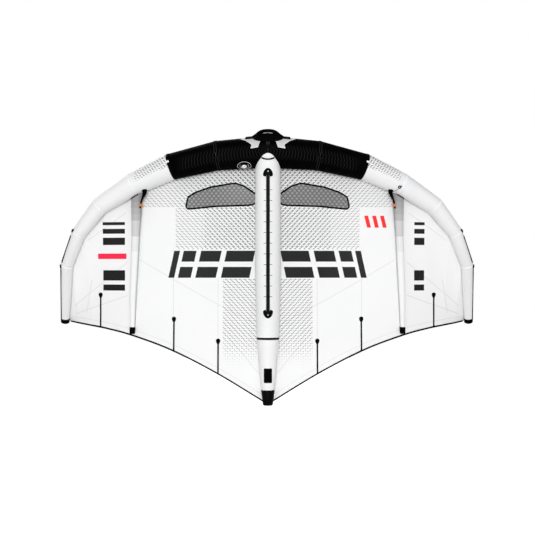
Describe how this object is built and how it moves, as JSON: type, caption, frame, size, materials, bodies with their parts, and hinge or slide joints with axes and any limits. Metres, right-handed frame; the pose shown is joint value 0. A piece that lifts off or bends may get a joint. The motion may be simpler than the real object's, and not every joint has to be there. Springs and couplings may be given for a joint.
{
  "type": "wingfoil wing",
  "caption": "Inflatable hand-held wing with a swept leading edge tube, centre strut with a handle rail, short side struts, cloth canopy with windows, front handle and inflation valve.",
  "frame": {"origin": "middle of the front handle's grip, by which the wing hangs", "axes": "+X along the span towards the right of a viewer facing the underside, +Z from the tail to the nose, +Y out of the upper side, so that the underside with its struts faces -Y"},
  "size_m": [2.791, 0.6492, 1.7717],
  "materials": {
    "black_tube_cloth": "glossy coated cloth",
    "white_tube_cloth": "coated woven cloth, slight sheen",
    "grey_tube_cloth": "coated woven cloth, slight sheen",
    "canopy_cloth": "fine ripstop sailcloth, satin",
    "window_film": "tinted clear film with a scrim",
    "black_trim": "matt woven tape",
    "black_webbing": "matt webbing and foam cover",
    "bladder_film": "clear film",
    "flap_film": "clear film",
    "black_plastic": "satin moulded plastic",
    "white_plastic": "satin moulded plastic",
    "orange_plastic": "satin moulded plastic",
    "black_rubber": "smooth flexible tube",
    "screw_steel": "bright stainless steel",
    "grey_cord": "braided cord"
  },
  "bodies": {
    "wing": {"batten_pocket_left_1": "black_trim", "batten_pocket_left_2": "black_trim", "batten_pocket_left_3": "black_trim", "batten_pocket_right_1": "black_trim", "batten_pocket_right_2": "black_trim", "batten_pocket_right_3": "black_trim", "canopy_inner_left": "canopy_cloth", "canopy_inner_right": "canopy_cloth", "canopy_outer_left": "canopy_cloth", "canopy_outer_right": "canopy_cloth", "handle_base": "black_webbing", "handle_grip": "black_webbing", "handle_rail": "black_plastic", "hose_clip_left": "orange_plastic", "hose_clip_right": "orange_plastic", "hose_left": "black_rubber", "hose_right": "black_rubber", "leading_edge_bladder": "bladder_film", "leading_edge_panel_left_1": "black_tube_cloth", "leading_edge_panel_left_2": "black_tube_cloth", "leading_edge_panel_left_3": "white_tube_cloth", "leading_edge_panel_left_4": "white_tube_cloth", "leading_edge_panel_left_5": "white_tube_cloth", "leading_edge_panel_left_6": "white_tube_cloth", "leading_edge_panel_left_7": "white_tube_cloth", "leading_edge_panel_right_1": "black_tube_cloth", "leading_edge_panel_right_2": "black_tube_cloth", "leading_edge_panel_right_3": "white_tube_cloth", "leading_edge_panel_right_4": "white_tube_cloth", "leading_edge_panel_right_5": "white_tube_cloth", "leading_edge_panel_right_6": "white_tube_cloth", "leading_edge_panel_right_7": "white_tube_cloth", "mini_strut_bladder_left": "bladder_film", "mini_strut_bladder_right": "bladder_film", "mini_strut_left": "grey_tube_cloth", "mini_strut_right": "grey_tube_cloth", "mini_strut_sleeve_left": "black_trim", "mini_strut_sleeve_right": "black_trim", "rail_fitting_front": "black_plastic", "rail_fitting_rear": "black_plastic", "rail_screw_front": "screw_steel", "rail_screw_rear": "screw_steel", "strut_bladder": "bladder_film", "strut_casing": "white_tube_cloth", "strut_seam_band": "black_trim", "strut_tail_cone": "white_tube_cloth", "tail_cap": "black_plastic", "tether_cord": "grey_cord", "tether_ring": "black_plastic", "tip_cap_left": "black_trim", "tip_cap_right": "black_trim", "trailing_hem": "black_trim", "valve_flange": "black_plastic", "window_left": "window_film", "window_right": "window_film"},
    "valve_insert": {"valve_insert": "black_plastic"},
    "valve_cap": {"valve_cap": "white_plastic"},
    "valve_flap": {"valve_flap": "flap_film"},
    "clip_lever_left": {"clip_lever_left": "orange_plastic"},
    "clip_lever_right": {"clip_lever_right": "orange_plastic"}
  },
  "joints": [
    {"name": "valve_insert_turn", "type": "hinge", "parent": "wing", "child": "valve_insert", "pos_m": [-0.15111, -0.01354, -0.22821], "axis": [0.0335, -0.5719, -0.8197], "range_deg": [0, 90]},
    {"name": "valve_cap_hinge", "type": "hinge", "parent": "valve_insert", "child": "valve_cap", "pos_m": [-0.17024, -0.0178, -0.23688], "axis": [0.0749, 0.8192, -0.5685], "range_deg": [0, 130]},
    {"name": "valve_flap_hinge", "type": "hinge", "parent": "valve_insert", "child": "valve_flap", "pos_m": [-0.16183, -0.00692, -0.22009], "axis": [-0.0749, -0.8192, 0.5685], "range_deg": [0, 45], "stiffness_Nm_per_rad": 0.001},
    {"name": "hose_clip_lever_left", "type": "hinge", "parent": "wing", "child": "clip_lever_left", "pos_m": [-0.81508, 0.12387, -0.46747], "axis": [-0.7986, -0.6018, 0], "range_deg": [0, 60]},
    {"name": "hose_clip_lever_right", "type": "hinge", "parent": "wing", "child": "clip_lever_right", "pos_m": [0.81508, 0.12387, -0.46747], "axis": [-0.7986, 0.6018, 0], "range_deg": [0, 60]}
  ]
}
